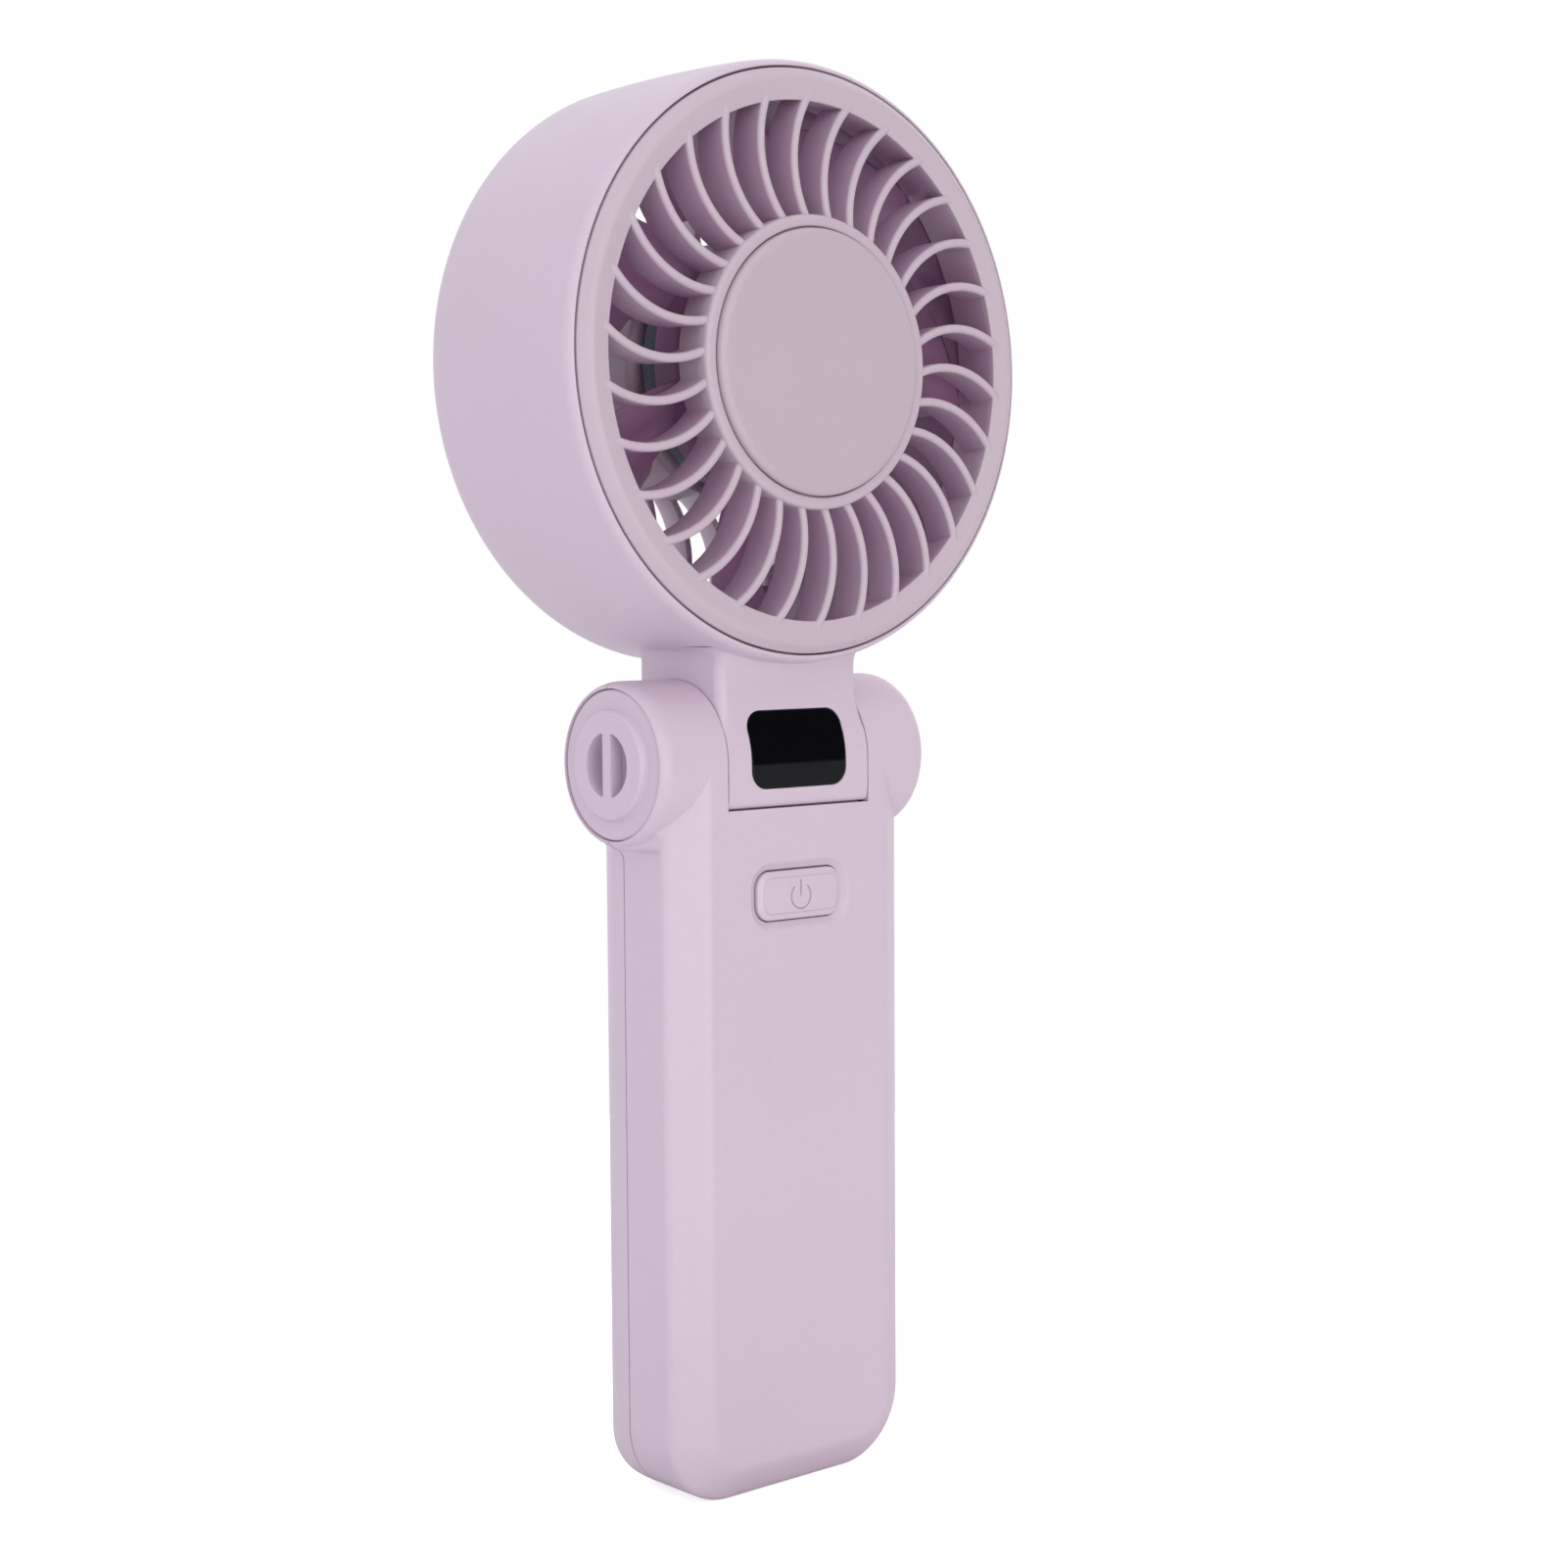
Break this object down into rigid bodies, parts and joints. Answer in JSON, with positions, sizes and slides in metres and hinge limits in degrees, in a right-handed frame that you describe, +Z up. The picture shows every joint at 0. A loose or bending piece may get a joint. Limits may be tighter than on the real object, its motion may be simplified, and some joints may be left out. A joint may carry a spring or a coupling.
{
  "type": "folding handheld electric fan",
  "caption": "Handheld battery fan: a drum head with a curved-vane grille on a friction hinge above a flat moulded handle with a power button and a display window.",
  "frame": {"origin": "on the standing surface, under the middle of the object's box", "axes": "+Z up along the handle, -Y towards the front grille, display and button, +X to the right seen from the front"},
  "size_m": [0.0834, 0.037, 0.2004],
  "materials": {
    "shell": "satin moulded ABS in pale lilac",
    "trim": "fine matt moulded ABS in pale lilac",
    "display": "smoked gloss window, unlit",
    "black_plastic": "black moulded plastic",
    "circuit": "green circuit board",
    "steel": "plain steel",
    "dark_steel": "dark blue-grey plated steel, satin",
    "brass": "stamped friction washer",
    "magnet": "bonded magnet",
    "windings": "laminated core with copper windings",
    "battery": "foil pouch cell",
    "foam": "black foam"
  },
  "bodies": {
    "handle": {"front_cover": "shell", "rear_cover": "shell", "left_cap": "trim", "right_cap": "trim", "hinge_pin_left": "steel", "hinge_pin_right": "steel", "friction_washer_left": "brass", "friction_washer_right": "brass", "main_board": "circuit", "board_screw_1": "steel", "board_screw_2": "steel", "board_screw_3": "steel", "board_screw_4": "steel", "tact_switch": "black_plastic", "battery_pack": "battery", "foam_pad": "foam", "usb_c_port": "steel", "usb_c_tongue": "black_plastic"},
    "head": {"head_shell": "shell", "rear_grille": "shell", "rear_hub_cap": "trim", "display_lens": "display", "display_board": "circuit", "motor_stator": "windings", "motor_board": "circuit", "bearing_front": "steel", "bearing_rear": "steel"},
    "grille": {"front_grille": "trim", "hub_disc": "trim"},
    "impeller": {"impeller": "shell", "rotor_can": "dark_steel", "magnet_ring": "magnet", "motor_shaft": "steel"},
    "button": {"power_button": "trim"}
  },
  "joints": [
    {"name": "head_fold", "type": "hinge", "parent": "handle", "child": "head", "pos_m": [0, -0.0015, 0.1038], "axis": [1, 0, 0], "range_deg": [-90, 30]},
    {"name": "impeller_spin", "type": "hinge", "parent": "head", "child": "impeller", "pos_m": [0, -0.0085, 0.1587], "axis": [0, -1, 0], "continuous": true},
    {"name": "front_grille_twist", "type": "hinge", "parent": "head", "child": "grille", "pos_m": [0, -0.0153, 0.1587], "axis": [0, -1, 0], "range_deg": [0, 15]},
    {"name": "power_button_press", "type": "slide", "parent": "handle", "child": "button", "axis": [0, 1, 0], "range_m": [0, 0.0005], "stiffness_N_per_m": 1500}
  ]
}
